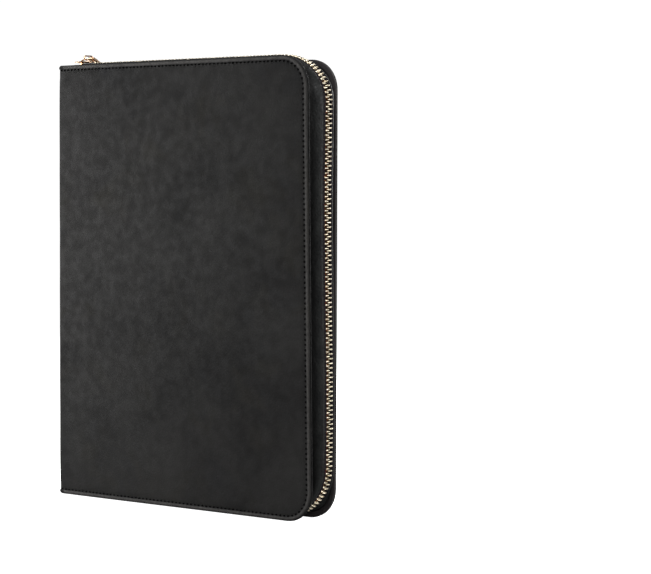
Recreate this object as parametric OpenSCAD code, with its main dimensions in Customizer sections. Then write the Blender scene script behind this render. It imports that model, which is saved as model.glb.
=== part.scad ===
// Zip-around six-ring portfolio case, standing on its bottom edge.
// Axes: X runs from the spine to the fore-edge, Y through the thickness (front cover at -Y), Z up.
// The origin is the middle of the spine's outer face, at the bottom edge.
// "Depth" means the distance inward from a cover's outer face.

/* [Case] */
// Height over the covers
case_h = 252; // [230:1:275]
// Width from the spine's outer face to the fore-edge
case_w = 189; // [175:1:205]
// Thickness over both covers
case_t = 25; // [24:0.5:30]
// Radius of the covers' two fore-edge corners
corner_r = 17; // [16:1:22]

/* [Layers] */
// Thickness of the outer leather
leather_t = 1.0; // [0.8:0.1:1.2]
// Thickness of the stiffener boards
board_t = 1.2; // [1:0.1:1.5]
// Thickness of the lining
lining_t = 0.5; // [0.4:0.1:0.6]
// Thickness of the gusset wall
gusset_t = 0.9; // [0.6:0.1:1]
// Air left between two sewn layers
layer_gap = 0.05; // [0.03:0.01:0.08]

/* [Zip] */
// Distance between neighbouring teeth of one row
tooth_pitch = 2.54; // [2.4:0.02:3]
// Length of a tooth across the zip
tooth_length = 2.6; // [2.6:0.1:3]
// Height of a tooth
tooth_h = 2; // [1.8:0.1:2.2]
// Slit between the heads of the two rows, where the slider's divider runs
divider_slit = 0.4; // [0.4:0.05:0.5]
// How far the zip stands out past the top edge
bulge_top = 1.2; // [0.8:0.1:2]
// How far the zip stands out past the fore-edge
bulge_side = 2.5; // [1.5:0.1:3]
// Height of the bottom run of the zip over the bottom edge
zip_foot = 2.2; // [2:0.1:3]
// Radius of the bends of the zip, at the middle of the chain
zip_bend_r = 27; // [26:1:30]

/* [Rings] */
// Distance between neighbouring rings of a group of three
ring_pitch = 19; // [18:0.5:20]
// Distance between the two groups of three
group_gap = 70; // [60:1:75]
// Radius of a ring, to the middle of its wire
ring_r = 6.6; // [6.4:0.1:6.8]
// Radius of the ring wire
wire_r = 0.9; // [0.8:0.05:1]
// Length of the sheet-metal housing
housing_l = 206; // [206:1:214]

/* [Pockets] */
// Width of the card panel, from the fore-edge of the lining
card_panel_w = 103; // [98:1:108]
// Width of the slip pocket, from the fore-edge of the lining
slip_pocket_w = 118; // [112:1:122]
// Height of the highest card slot over the bottom edge
first_slot_z = 155; // [150:1:160]
// Distance between card slots
slot_pitch = 19.4; // [18:0.1:20]
// Radius of the pen loop's hollow
pen_r = 5.2; // [4.5:0.1:5.4]

/* [Hidden] */
$fn = 64;

black_leather = [0.13, 0.13, 0.13];
black_cloth = [0.09, 0.09, 0.10];
board_grey = [0.55, 0.52, 0.47];
tan = [0.93, 0.62, 0.36];
gold = [0.85, 0.66, 0.36];
steel = [0.78, 0.78, 0.80];

half_t = case_t / 2;
mid_z = case_h / 2;

// Where each layer of a cover lies, as depths
board_d = leather_t + layer_gap;
rim_d = board_d + board_t + layer_gap;
lining_d = rim_d + layer_gap;
lining_top_d = lining_d + lining_t;
welt_t = 0.9;
wall_d = lining_d + welt_t + layer_gap;

// Where the covers begin behind the folds of the spine
fold_x = 3.2;
board_x = 5.5;
lining_x = 5;
lining_inset = 2.4;

// Zip chain: half its width, and the rounded path that its middle follows
chain_w = tooth_length + divider_slit / 2;
path_x = case_w + bulge_side;
path_top = case_h + bulge_top;
teeth_x = 19;
top_run = path_x - zip_bend_r - teeth_x;
bend_run = zip_bend_r * PI / 2;
side_run = path_top - zip_foot - 2 * zip_bend_r;
chain_l = 2 * top_run + 2 * bend_run + side_run;
teeth_n = floor(chain_l / tooth_pitch);

// Slider and pull
slider_x = 10.1;
slider_l = 11;
channel_h = tooth_h / 2 + 0.25;
wing_t = 0.7;
bar_h = 3.65;
bar_r = 0.5;
link_l = 4.5;
tab_tilt = -24;

// Ring metal: a curved housing on the spine, and two leaves that rock under it
metal_x = lining_d + lining_t + layer_gap;
housing_w = 15;
housing_h = 4.5;
housing_t = 0.7;
arch_r = (pow(housing_w / 2, 2) + pow(housing_h, 2)) / (2 * housing_h);
arch_x = metal_x + housing_h - arch_r;
leaf_y = 5.55;
leaf_t = 0.8;
leaf_x = metal_x + 0.35;
leaf_l = 195;
ring_x = metal_x + 7.6;
rivet_z = 87;
rivet_r = 1.5;
trigger_z = housing_l / 2 - 2;
trigger_x = metal_x + 1.85;
trigger_pin_r = 0.8;
running = 0.05;
ring_zs = [for (group = [-1, 1], k = [0, 1, 2]) group * (group_gap / 2 + k * ring_pitch)];

// Inside of the front cover
pocket_t = 0.5;
strip_t = 0.4;
card_strips = 4;
strip_w = 97;
strip_overlap = 3;
slip_d = lining_top_d + layer_gap;
panel_d = slip_d + pocket_t + layer_gap;
strip_d = panel_d + pocket_t + layer_gap;
strip_step = strip_t + layer_gap;
id_d = strip_d + card_strips * strip_step;
id_slot_z = first_slot_z - card_strips * slot_pitch;
// The lowest pocket stops short of the gusset
foot_gap = 0.6;
// The pockets' corners clear the bends of the zip
pocket_corner_r = 22;
window_w = 77;
window_h = 47;
window_x = case_w - 14 - window_w;
window_z = 16.5;
window_r = 2.5;
film_t = 0.2;
film_lap = 2;

// Pen loop
loop_t = 0.7;
loop_l = 30;
loop_top = 52.5;
loop_reach = 16;

// ---------- helpers ----------

// Extrudes a drawing of X and Z through the thickness, from y0 to y1
module through(y0, y1) {
    translate([0, y1, 0]) rotate([90, 0, 0]) linear_extrude(y1 - y0) children();
}

// A layer of the front cover between two depths
module layer(d0, d1) {
    through(d0 - half_t, d1 - half_t) children();
}

// Mirrors a piece of the front cover onto the back cover
module back_side() {
    mirror([0, 1, 0]) children();
}

// A panel with its two fore-edge corners rounded
module panel(x0, x1, z0, z1, r) {
    translate([x0, z0]) square([x1 - x0 - r, z1 - z0]);
    translate([x0, z0 + r]) square([x1 - x0, z1 - z0 - 2 * r]);
    for (z = [z0 + r, z1 - r]) translate([x1 - r, z]) circle(r);
}

// The cover's outline, drawn in from its edge
module cover_outline(inset, x0) {
    panel(x0, case_w - inset, inset, case_h - inset, corner_r - inset);
}

// The zip's outline, drawn out from the middle of the chain
module zip_outline(out, x0) {
    panel(x0, path_x + out, zip_foot - out, path_top + out, zip_bend_r + out);
}

module lining_area() {
    cover_outline(lining_inset, lining_x);
}

// Part of a pocket, between two heights, from its fore-edge inward
module pocket_part(width, z0, z1) {
    intersection() {
        panel(lining_x, case_w - lining_inset, lining_inset, case_h - lining_inset, pocket_corner_r);
        translate([case_w - lining_inset - width, z0]) square([width, z1 - z0]);
    }
}

// ---------- spine ----------

module spine_leather() {
    color(black_leather) linear_extrude(case_h) difference() {
        translate([0, -half_t]) square([fold_x - 0.2, case_t]);
        translate([leather_t, leather_t - half_t]) square([fold_x, case_t - 2 * leather_t]);
    }
}

module rivet_holes(r) {
    for (side = [-1, 1]) translate([0, 0, mid_z + side * rivet_z])
        rotate([0, 90, 0]) cylinder(r = r, h = 20);
}

module spine_board() {
    edge = 1.2;
    w = case_t - 2 * edge;
    color(board_grey) difference() {
        translate([board_d, -w / 2, edge]) cube([board_t, w, case_h - 2 * edge]);
        rivet_holes(rivet_r + running);
        rivet_tails(0.1);
    }
}

module spine_lining() {
    edge = 1.2;
    w = case_t - 2 * lining_top_d - 0.4;
    color(tan) difference() {
        translate([lining_d, -w / 2, edge]) cube([lining_t, w, case_h - 2 * edge]);
        rivet_holes(rivet_r + running);
    }
}

// Folded leather that closes the gap between the covers at the end of the spine
module end_web() {
    web_w = case_t - 2 * wall_d;
    translate([metal_x, -web_w / 2, 0]) cube([4, web_w, 1]);
}

module top_end_web() {
    color(black_cloth) translate([0, 0, case_h - 9]) end_web();
}

module bottom_end_web() {
    color(black_cloth) translate([0, 0, 8]) end_web();
}

// ---------- ring metal ----------

module arch_section(r) {
    intersection() {
        translate([arch_x, 0]) circle(r);
        translate([metal_x, -housing_w / 2]) square([housing_h, housing_w]);
    }
}

module ring_housing() {
    notch_w = 2 * wire_r + 0.8;
    notch_in = 3.1;
    color(steel) difference() {
        translate([0, 0, mid_z - housing_l / 2]) linear_extrude(housing_l) difference() {
            arch_section(arch_r);
            arch_section(arch_r - housing_t);
        }
        for (z = ring_zs, side = [-1, 1])
            translate([metal_x - 1, side > 0 ? notch_in : -notch_in - 5, mid_z + z - notch_w / 2])
                cube([10, 5, notch_w]);
        rivet_holes(rivet_r + running);
        for (side = [-1, 1]) translate([trigger_x, 0, mid_z + side * trigger_z])
            rotate([90, 0, 0]) cylinder(r = trigger_pin_r, h = 20, center = true);
    }
}

module rivet_tails(clear) {
    for (side = [-1, 1]) translate([board_d - clear, 0, mid_z + side * rivet_z])
        rotate([0, 90, 0]) cylinder(r = 2.6 + clear, h = 0.3 + 2 * clear);
}

module ring_rivets() {
    head_x = metal_x + housing_h + 0.02;
    color(steel) {
        for (side = [-1, 1]) translate([0, 0, mid_z + side * rivet_z]) rotate([0, 90, 0]) difference() {
            union() {
                translate([0, 0, board_d]) cylinder(r = rivet_r, h = head_x - board_d);
                translate([0, 0, board_d]) cylinder(r = 2.6, h = 0.3);
                translate([0, 0, head_x]) cylinder(r1 = 3.3, r2 = 2.6, h = 0.9);
            }
            translate([0, 0, head_x + 0.3]) cylinder(r = 1.4, h = 2);
        }
    }
}

module trigger_pins() {
    pin_l = 12.4;
    color(steel) for (side = [-1, 1]) translate([trigger_x, 0, mid_z + side * trigger_z])
        rotate([90, 0, 0]) cylinder(r = trigger_pin_r, h = pin_l, center = true);
}

// The leaf under the front half of the housing, with the rounded edge that it rocks on
module ring_leaf() {
    rivet_notch = 2.4;
    color(steel) difference() {
        translate([0, 0, mid_z - leaf_l / 2]) union() {
            translate([leaf_x, -leaf_y, 0]) cube([leaf_t, leaf_y - 0.1, leaf_l]);
            translate([leaf_x + leaf_t / 2, -leaf_y, 0]) cylinder(r = leaf_t / 2, h = leaf_l);
        }
        for (side = [-1, 1])
            translate([metal_x - 1, -rivet_notch, mid_z + side * rivet_z - 3]) cube([6, 10, 6]);
    }
}

module front_ring_leaf() ring_leaf();
module back_ring_leaf() back_side() ring_leaf();

// Six half rings: each leaves the leaf beside the middle and ends at the joint of the ring
module half_rings() {
    root = 22;
    joint_gap = 0.3;
    color(steel) for (z = ring_zs) translate([ring_x, 0, mid_z + z])
        rotate([0, 0, 180 + root]) rotate_extrude(angle = 180 - root - joint_gap)
            translate([ring_r, 0]) circle(wire_r);
}

module front_half_rings() half_rings();
module back_half_rings() back_side() half_rings();

// Lever that works the leaves; drawn about its pin, with its finger tip towards +Z
module trigger() {
    boss_r = 1.4;
    boss_w = 4.8;
    arm_t = 1;
    arm_w = 8.4;
    arm_l = 11;
    tilt = 25;
    color(steel) difference() {
        union() {
            rotate([90, 0, 0]) cylinder(r = boss_r, h = boss_w, center = true);
            rotate([0, tilt, 0]) {
                translate([-arm_t / 2, -boss_w / 2, 0]) cube([arm_t, boss_w, 5]);
                translate([-arm_t / 2, -arm_w / 2, 4]) cube([arm_t, arm_w, arm_l - 4]);
                translate([0, 0, arm_l]) rotate([90, 0, 0]) cylinder(r = 0.9, h = arm_w, center = true);
            }
            translate([-0.9, -boss_w / 2, -3]) cube([0.8, boss_w, 3]);
        }
        rotate([90, 0, 0]) cylinder(r = trigger_pin_r + running, h = 20, center = true);
    }
}

module top_trigger() {
    translate([trigger_x, 0, mid_z + trigger_z]) trigger();
}

module bottom_trigger() {
    translate([trigger_x, 0, mid_z - trigger_z]) mirror([0, 0, 1]) trigger();
}

// ---------- covers ----------

// Outer leather with its edge turned in round the board
module cover_leather() {
    color(black_leather) difference() {
        layer(0, rim_d) cover_outline(0, fold_x);
        layer(leather_t, rim_d + 1) cover_outline(leather_t, 0);
    }
}

module front_leather() cover_leather();
module back_leather() back_side() cover_leather();

module cover_board() {
    color(board_grey) layer(board_d, board_d + board_t)
        cover_outline(leather_t + 0.1, board_x);
}

module front_board() cover_board();
module back_board() back_side() cover_board();

// Welt sewn round the edge between the turned leather and the gusset
module cover_welt() {
    color(black_leather) layer(lining_d, lining_d + welt_t) difference() {
        cover_outline(0.3, fold_x);
        cover_outline(lining_inset - 0.2, 0);
    }
}

module front_welt() cover_welt();
module back_welt() back_side() cover_welt();

module cover_lining() {
    color(tan) layer(lining_d, lining_top_d) lining_area();
}

module front_lining() cover_lining();
module back_lining() back_side() cover_lining();

// Soft wall from the welt out to the zip tape
tape_d = half_t - chain_w - 2;
module gusset_loft(shrink, grow, x0) {
    end_t = 0.3;
    $fn = 32;
    hull() {
        layer(wall_d - grow, wall_d + end_t)
            panel(x0, case_w - 1 - shrink, 1 + shrink, case_h - 1 - shrink, corner_r - 1 - shrink);
        layer(tape_d - end_t, tape_d + grow) zip_outline(0.45 - shrink, x0);
    }
}

module gusset() {
    color(black_cloth) difference() {
        gusset_loft(0, 0, fold_x);
        gusset_loft(gusset_t, 0.3, 0);
    }
}

module front_gusset() gusset();
module back_gusset() back_side() gusset();

// ---------- zip ----------

// Cloth band beside the teeth
module zip_tape() {
    tape_t = 0.7;
    color(black_cloth) layer(tape_d + layer_gap, half_t - chain_w - layer_gap) difference() {
        zip_outline(tape_t / 2, fold_x);
        zip_outline(-tape_t / 2, 0);
    }
}

module front_zip_tape() zip_tape();
module back_zip_tape() back_side() zip_tape();

// Moves a piece drawn on the top run, at x = 0 with its outside up, to the distance s along the path
module on_path(s) {
    side_s = top_run + bend_run;
    low_bend_s = side_s + side_run;
    foot_s = low_bend_s + bend_run;
    bend_x = path_x - zip_bend_r;
    if (s < top_run) {
        translate([teeth_x + s, 0, path_top]) children();
    } else if (s < side_s) {
        turn = 90 * (s - top_run) / bend_run;
        translate([bend_x, 0, path_top - zip_bend_r]) rotate([0, turn, 0])
            translate([0, 0, zip_bend_r]) children();
    } else if (s < low_bend_s) {
        translate([path_x, 0, path_top - zip_bend_r - (s - side_s)]) rotate([0, 90, 0]) children();
    } else if (s < foot_s) {
        turn = 90 + 90 * (s - low_bend_s) / bend_run;
        translate([bend_x, 0, zip_foot + zip_bend_r]) rotate([0, turn, 0])
            translate([0, 0, zip_bend_r]) children();
    } else {
        translate([bend_x - (s - foot_s), 0, zip_foot]) rotate([0, 180, 0]) children();
    }
}

// One tooth of the front row: broad where it grips the tape, narrow at its head
module tooth() {
    grip = 0.55;
    head = 0.42;
    tip = 0.28;
    translate([0, 0, -tooth_h / 2]) linear_extrude(tooth_h) polygon([
        [-grip, -chain_w], [grip, -chain_w], [head, -chain_w + 1.8],
        [tip, -divider_slit / 2], [-tip, -divider_slit / 2], [-head, -chain_w + 1.8]
    ]);
}

module zip_teeth(phase) {
    color(gold) for (i = [0 : teeth_n - 1]) on_path((i + phase) * tooth_pitch) tooth();
}

module front_zip_teeth() zip_teeth(0.25);
module back_zip_teeth() back_side() zip_teeth(0.75);

// Metal clips at both ends of a tape, where the slider stops
module zip_stops() {
    stop_x = 3.3;
    stop_l = 1.1;
    stop_w = 2;
    color(gold) for (z = [path_top, zip_foot])
        translate([stop_x, -chain_w, z - tooth_h / 2]) cube([stop_l, stop_w, tooth_h]);
}

module front_zip_stops() zip_stops();
module back_zip_stops() back_side() zip_stops();

// ---------- slider and pull ----------

// Plan of a slider wing, broad at its nose towards the spine
module wing_plan() {
    nose = 4.5;
    tail = 3.4;
    half_l = slider_l / 2;
    polygon([
        [-half_l, -nose + 1], [-half_l + 1, -nose], [half_l - 2.5, -nose], [half_l, -tail],
        [half_l, tail], [half_l - 2.5, nose], [-half_l + 1, nose], [-half_l, nose - 1]
    ]);
}

// Upper or lower wing, with a shallow channel for the teeth between its two lips
module slider_wing() {
    lip_h = tooth_h / 2 + 0.06;
    difference() {
        translate([0, 0, lip_h]) linear_extrude(channel_h + wing_t - lip_h) wing_plan();
        translate([-slider_l, -chain_w - 0.3, 0]) cube([2 * slider_l, 2 * chain_w + 0.6, channel_h]);
    }
}

// Blade at the nose that parts the two rows and joins the wings
module divider() {
    blade_l = 3;
    blade_t = divider_slit - 0.1;
    blade_h = 2 * channel_h + 0.2;
    translate([0.6 - slider_l / 2, -blade_t / 2, -blade_h / 2]) cube([blade_l, blade_t, blade_h]);
}

module slider_body() {
    post_x = 3.2;
    plate_h = channel_h + wing_t;
    color(gold) translate([slider_x, 0, path_top]) {
        slider_wing();
        mirror([0, 0, 1]) slider_wing();
        divider();
        translate([-post_x, 0, bar_h]) rotate([0, 90, 0]) cylinder(r = bar_r, h = 2 * post_x);
        for (side = [-1, 1]) {
            translate([side * post_x, 0, plate_h - 0.2]) cylinder(r = bar_r + 0.2, h = bar_h - plate_h + 0.2);
            translate([side * post_x, 0, bar_h]) sphere(bar_r + 0.2);
        }
    }
}

// Long wire ring round the bridge bar and the bar of the pull tab
module pull_link() {
    bend = 1.15;
    link_r = 0.45;
    color(gold) translate([slider_x, 0, path_top + bar_h]) rotate([0, 90, 0]) {
        rotate([0, 0, 180]) rotate_extrude(angle = 180) translate([bend, 0]) circle(link_r);
        translate([0, link_l, 0]) rotate_extrude(angle = 180) translate([bend, 0]) circle(link_r);
        for (side = [-1, 1]) translate([side * bend, 0, 0]) rotate([-90, 0, 0])
            cylinder(r = link_r, h = link_l);
    }
}

// Flat pull with an eye at its bar and a square window at its end; drawn along +Y from its bar
module tab_plan() {
    neck = 1.9;
    frame = 3.8;
    difference() {
        union() {
            translate([-2.3, 0]) square([4.6, 3.4]);
            translate([-neck, 2]) square([2 * neck, 11]);
            translate([-frame + 1, 12]) square([2 * frame - 2, 8]);
            translate([-frame, 13]) square([2 * frame, 6]);
            for (x = [-1, 1], y = [13, 19]) translate([x * (frame - 1), y]) circle(1);
        }
        translate([-1.4, 0]) square([2.8, 2.4]);
        translate([-2.2, 13.8]) square([4.4, 4.6]);
    }
}

module pull_tab() {
    tab_t = 1;
    color(gold) translate([slider_x, link_l, path_top + bar_h]) rotate([tab_tilt, 0, 0]) {
        translate([0, 0, -tab_t / 2]) linear_extrude(tab_t) tab_plan();
        rotate([0, 90, 0]) cylinder(r = 0.5, h = 4.6, center = true);
    }
}

// ---------- inside of the front cover ----------

module slip_pocket() {
    color(tan) layer(slip_d, slip_d + pocket_t) pocket_part(slip_pocket_w, 0, case_h);
}

module card_panel() {
    color(tan) layer(panel_d, panel_d + pocket_t) pocket_part(card_panel_w, 0, case_h);
}

// Strip k of the card slots, counted from the top; each lies over the foot of the one above
module card_strip(k) {
    mouth = first_slot_z - k * slot_pitch;
    d = strip_d + k * strip_step;
    color(tan) layer(d, d + strip_t)
        pocket_part(strip_w, mouth - slot_pitch - strip_overlap, mouth);
}

// Pocket below the card slots, with a window for an identity card
module id_pocket() {
    color(tan) layer(id_d, id_d + strip_t) difference() {
        pocket_part(strip_w, lining_inset + foot_gap, id_slot_z);
        translate([window_x, window_z + window_r]) square([window_w, window_h - 2 * window_r]);
        translate([window_x + window_r, window_z]) square([window_w - 2 * window_r, window_h]);
        for (x = [window_x + window_r, window_x + window_w - window_r],
             z = [window_z + window_r, window_z + window_h - window_r])
            translate([x, z]) circle(window_r);
    }
}

module id_window() {
    color([0.9, 0.6, 0.4, 0.5]) layer(id_d - layer_gap - film_t, id_d - layer_gap)
        translate([window_x - film_lap, window_z - film_lap])
            square([window_w + 2 * film_lap, window_h + 2 * film_lap]);
}

// ---------- inside of the back cover ----------

// A round band with a flat tail of two layers, sewn down at the fore-edge
module pen_loop() {
    r = pen_r + loop_t;
    seam_x = case_w - lining_inset - 0.5;
    y = half_t - lining_top_d - layer_gap - r;
    tail_t = 1.2;
    color(tan) translate([seam_x - loop_reach, y, case_h - loop_top - loop_l]) linear_extrude(loop_l)
        difference() {
            union() {
                circle(r);
                translate([0, r - 0.15 - tail_t]) square([loop_reach, tail_t]);
            }
            circle(pen_r);
        }
}

// ---------- assembly ----------

spine_leather();
spine_board();
spine_lining();
top_end_web();
bottom_end_web();
ring_housing();
ring_rivets();
trigger_pins();
front_ring_leaf();
front_half_rings();
back_ring_leaf();
back_half_rings();
top_trigger();
bottom_trigger();
front_leather();
front_board();
front_welt();
front_gusset();
front_zip_tape();
front_zip_teeth();
front_zip_stops();
front_lining();
slip_pocket();
card_panel();
card_strip(0);  // card_strip_1
card_strip(1);  // card_strip_2
card_strip(2);  // card_strip_3
card_strip(3);  // card_strip_4
id_pocket();
id_window();
back_leather();
back_board();
back_welt();
back_gusset();
back_zip_tape();
back_zip_teeth();
back_zip_stops();
back_lining();
pen_loop();
slider_body();
pull_link();
pull_tab();
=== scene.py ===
"""Looks of the zip-around portfolio case. Lengths are millimetres until mesh_piece() makes them metres."""
import math

import bpy
import numpy as np
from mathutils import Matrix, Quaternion, Vector, noise


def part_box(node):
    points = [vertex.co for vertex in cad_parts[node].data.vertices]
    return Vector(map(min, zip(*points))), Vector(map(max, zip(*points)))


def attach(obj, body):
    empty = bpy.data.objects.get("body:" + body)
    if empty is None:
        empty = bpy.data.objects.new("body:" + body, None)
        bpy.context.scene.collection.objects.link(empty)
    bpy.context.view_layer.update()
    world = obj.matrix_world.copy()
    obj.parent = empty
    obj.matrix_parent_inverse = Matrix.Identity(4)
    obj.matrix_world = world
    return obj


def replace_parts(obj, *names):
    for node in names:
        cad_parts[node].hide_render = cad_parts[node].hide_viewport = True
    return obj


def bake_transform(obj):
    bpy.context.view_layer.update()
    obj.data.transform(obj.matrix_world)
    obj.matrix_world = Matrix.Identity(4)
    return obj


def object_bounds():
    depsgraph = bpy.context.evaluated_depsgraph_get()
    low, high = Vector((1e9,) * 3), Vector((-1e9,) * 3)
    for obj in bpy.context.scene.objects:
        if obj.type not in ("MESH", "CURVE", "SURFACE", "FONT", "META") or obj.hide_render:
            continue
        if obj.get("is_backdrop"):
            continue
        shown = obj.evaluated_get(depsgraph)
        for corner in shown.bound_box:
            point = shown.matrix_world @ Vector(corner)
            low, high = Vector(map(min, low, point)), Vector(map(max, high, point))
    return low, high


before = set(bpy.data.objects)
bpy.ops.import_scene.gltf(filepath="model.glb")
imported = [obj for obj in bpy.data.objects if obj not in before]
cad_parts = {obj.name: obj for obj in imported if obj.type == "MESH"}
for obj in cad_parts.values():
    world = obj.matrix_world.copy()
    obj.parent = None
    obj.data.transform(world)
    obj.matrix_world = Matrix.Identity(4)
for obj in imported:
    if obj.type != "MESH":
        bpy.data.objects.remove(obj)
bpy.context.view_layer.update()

MM = 0.001
FRONT, BACK = -1, 1


def box_mm(node):
    low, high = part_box(node)
    return np.array(low) / MM, np.array(high) / MM


# ---------- sizes, from the frame ----------

cover_low, cover_high = box_mm("front_leather")
CASE_W, CASE_H = cover_high[0], cover_high[2]
HALF_T = -cover_low[1]
FOLD_X = cover_low[0]
CORNER_R = 17.0
FOLD_R = 2.0

teeth_low, teeth_high = box_mm("front_zip_teeth")
TOOTH_HALF_H = 1.0
PATH_X = teeth_high[0] - TOOTH_HALF_H
PATH_TOP = teeth_high[2] - TOOTH_HALF_H
PATH_FOOT = teeth_low[2] + TOOTH_HALF_H
PATH_R = 27.0
TEETH_X = 19.0
TOOTH_PITCH = 2.54

lining_low, lining_high = box_mm("front_lining")
LINING_D = HALF_T + lining_low[1]
slip_low, card_low = box_mm("slip_pocket")[0], box_mm("card_panel")[0]
strip_low, strip_high = box_mm("card_strip_1")
window_low, window_high = box_mm("id_window")
slider_low, slider_high = box_mm("slider_body")


# ---------- shader helpers ----------

class Shader:
    """A Principled material with short ways to add the nodes that drive it."""

    def __init__(self, name, follows_mesh=True):
        self.material = bpy.data.materials.new(name)
        self.material.use_nodes = True
        self.tree = self.material.node_tree
        self.surface = self.tree.nodes["Principled BSDF"]
        if follows_mesh:
            self.place = self.node("Attribute", attribute_name="rest").outputs["Vector"]
        else:
            place = self.node("TexCoord").outputs["Object"]
            self.place = self.node("VectorMath", {0: place, "Scale": 1 / MM}, operation="SCALE").outputs[0]

    def plug(self, node, inputs):
        """inputs maps a node's inputs, by name or number, to values or to other nodes' outputs."""
        for name, value in inputs.items():
            socket = node.inputs[name]
            if isinstance(value, bpy.types.NodeSocket):
                self.tree.links.new(value, socket)
            elif isinstance(value, tuple) and socket.type == "RGBA":
                socket.default_value = (*value, 1)
            else:
                socket.default_value = value

    def node(self, kind, inputs=None, **properties):
        node = self.tree.nodes.new("ShaderNode" + kind)
        for name, value in properties.items():
            setattr(node, name, value)
        self.plug(node, inputs or {})
        return node

    def set(self, **inputs):
        """Inputs of the surface, with underscores for the spaces in their names."""
        self.plug(self.surface, {name.replace("_", " "): value for name, value in inputs.items()})

    def kept(self, name):
        """A number that the mesh keeps at each of its points."""
        return self.node("Attribute", attribute_name=name).outputs["Fac"]

    def texture(self, kind, size, stretch, **inputs):
        """A texture node whose pattern is about size millimetres across."""
        place = self.place
        if stretch:
            place = self.node("VectorMath", {0: place, 1: stretch}, operation="MULTIPLY").outputs[0]
        return self.node(kind, {"Vector": place, "Scale": 1 / size, **inputs})

    def noise(self, size, detail=3.0, rough=0.55, warp=0.0, stretch=None):
        cloud = self.texture("TexNoise", size, stretch, Detail=detail, Roughness=rough, Distortion=warp)
        return cloud.outputs["Fac"]

    def cells(self, size, feature="F1", stretch=None):
        node = self.texture("TexVoronoi", size, stretch)
        node.feature = feature
        return node.outputs["Distance"]

    def ramp(self, value, low, high, out_low=0.0, out_high=1.0):
        limits = {"From Min": low, "From Max": high, "To Min": out_low, "To Max": out_high}
        node = self.node("MapRange", {"Value": value, **limits}, interpolation_type="SMOOTHSTEP")
        return node.outputs["Result"]

    def mix(self, low, high, share):
        return self.node("Mix", {"Factor": share, 6: low, 7: high}, data_type="RGBA").outputs[2]

    def calc(self, operation, a, b):
        return self.node("Math", {0: a, 1: b}, operation=operation).outputs[0]

    def axis(self, name):
        return self.node("SeparateXYZ", {0: self.place}).outputs[name]

    def bump(self, height, depth, under=None):
        """Relief whose full height is depth millimetres."""
        inputs = {"Strength": 1, "Distance": depth * MM, "Height": height}
        if under:
            inputs["Normal"] = under
        normal = self.node("Bump", inputs).outputs[0]
        self.set(Normal=normal)
        return normal


# ---------- materials ----------

def nubuck():
    """Matt charcoal leather with cloudy mottling and a fine nap."""
    s = Shader("charcoal_nubuck")
    clouds = s.ramp(s.noise(58, 3, 0.5, 0.5), 0.3, 0.7)
    blotches = s.ramp(s.noise(27, 2, 0.45, 0.4), 0.40, 0.70)
    colour = s.mix((0.0088, 0.0085, 0.0084), (0.0198, 0.0192, 0.0186), clouds)
    olive = s.ramp(s.noise(34, 3, 0.6, 0.5, (1.0, 1.0, 1.1)), 0.50, 0.72, 0, 0.75)
    colour = s.mix(colour, (0.0170, 0.0158, 0.0128), olive)
    smoke = s.ramp(s.noise(40, 3, 0.6, 0.5, (1.1, 1.0, 0.9)), 0.54, 0.74, 0, 0.7)
    colour = s.mix(colour, (0.0140, 0.0142, 0.0152), smoke)
    colour = s.mix(colour, (0.024, 0.0232, 0.0222), s.calc("MULTIPLY", blotches, 0.34))
    scuffs = s.ramp(s.noise(1.8, 3, 0.7, 0.6, (1, 1, 0.5)), 0.64, 0.80, 0, 0.35)
    colour = s.mix(colour, (0.034, 0.0328, 0.0310), scuffs)
    specks = s.ramp(s.noise(0.9, 3, 0.7), 0.60, 0.78)
    colour = s.mix(colour, (0.008, 0.0078, 0.0078), s.calc("MULTIPLY", specks, 0.5))
    # Lighter rolled margin: partly real rubbed wear, partly a painted highlight where the rounded edge
    # catches the light
    rubbed_and_lit = s.calc("MULTIPLY", s.kept("wear_and_painted_light"), s.ramp(s.noise(2.4, 4, 0.6), 0.25, 0.75, 0.55, 1.0))
    colour = s.mix(colour, (0.080, 0.077, 0.074), rubbed_and_lit)
    s.set(Base_Color=colour, Roughness=s.ramp(s.noise(6, 4), 0.3, 0.7, 0.58, 0.74))
    s.set(Specular_IOR_Level=0.10)
    nap = s.bump(s.noise(0.35, 3, 0.6), 0.05)
    pores = s.bump(s.cells(1.1), 0.05, nap)
    s.bump(s.noise(7, 2), 0.05, pores)
    return s.material


def wall_leather():
    """Darker leather with a diagonal pressed grain, for walls, welts and webs."""
    s = Shader("grained_wall_leather")
    slant = (1.0, 0.45, 0.8)
    grain = s.cells(1.0, "SMOOTH_F1", slant)
    colour = s.mix((0.0060, 0.0064, 0.0066), (0.0125, 0.0132, 0.0128), s.ramp(s.noise(9, 4), 0.3, 0.7))
    colour = s.mix((0.0025, 0.0025, 0.0025), colour, s.ramp(grain, 0.05, 0.45, 0.55, 1.0))
    # Painted shade: darker towards the wall's foot, in the crevice under the lip
    colour = s.mix(colour, (0.0008, 0.0008, 0.0008), s.ramp(s.kept("wear_and_painted_light"), 0.32, 0.64))
    s.set(Base_Color=colour, Roughness=s.ramp(s.noise(2.5, 3), 0.3, 0.7, 0.46, 0.66), Specular_IOR_Level=0.12)
    fold = s.bump(s.noise(2.2, 3, 0.6, 0.4, (1.6, 0.6, 0.5)), 0.18)
    s.bump(grain, 0.12, fold)
    return s.material


def edge_leather():
    """Painted and rubbed leather edge, a little lighter than the faces, with painted light on the back lip's
    deeper part, which lies in shade.
    """
    s = Shader("rubbed_edge_leather_painted_light")
    worn = s.ramp(s.noise(3.5, 4, 0.65), 0.42, 0.7)
    colour = s.mix((0.009, 0.0088, 0.0088), (0.024, 0.0232, 0.0232), worn)
    # Painted light: where the back lip lies in shade, its colour is lightened
    colour = s.mix(colour, (0.062, 0.056, 0.058), s.calc("MULTIPLY", s.kept("wear_and_painted_light"), 0.95))
    s.set(Base_Color=colour, Specular_IOR_Level=0.18)
    s.set(Roughness=s.ramp(s.noise(1.2, 3), 0.3, 0.7, 0.42, 0.62))
    s.bump(s.noise(0.6, 4, 0.7, 0, (0.4, 1, 0.4)), 0.08)
    return s.material


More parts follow.
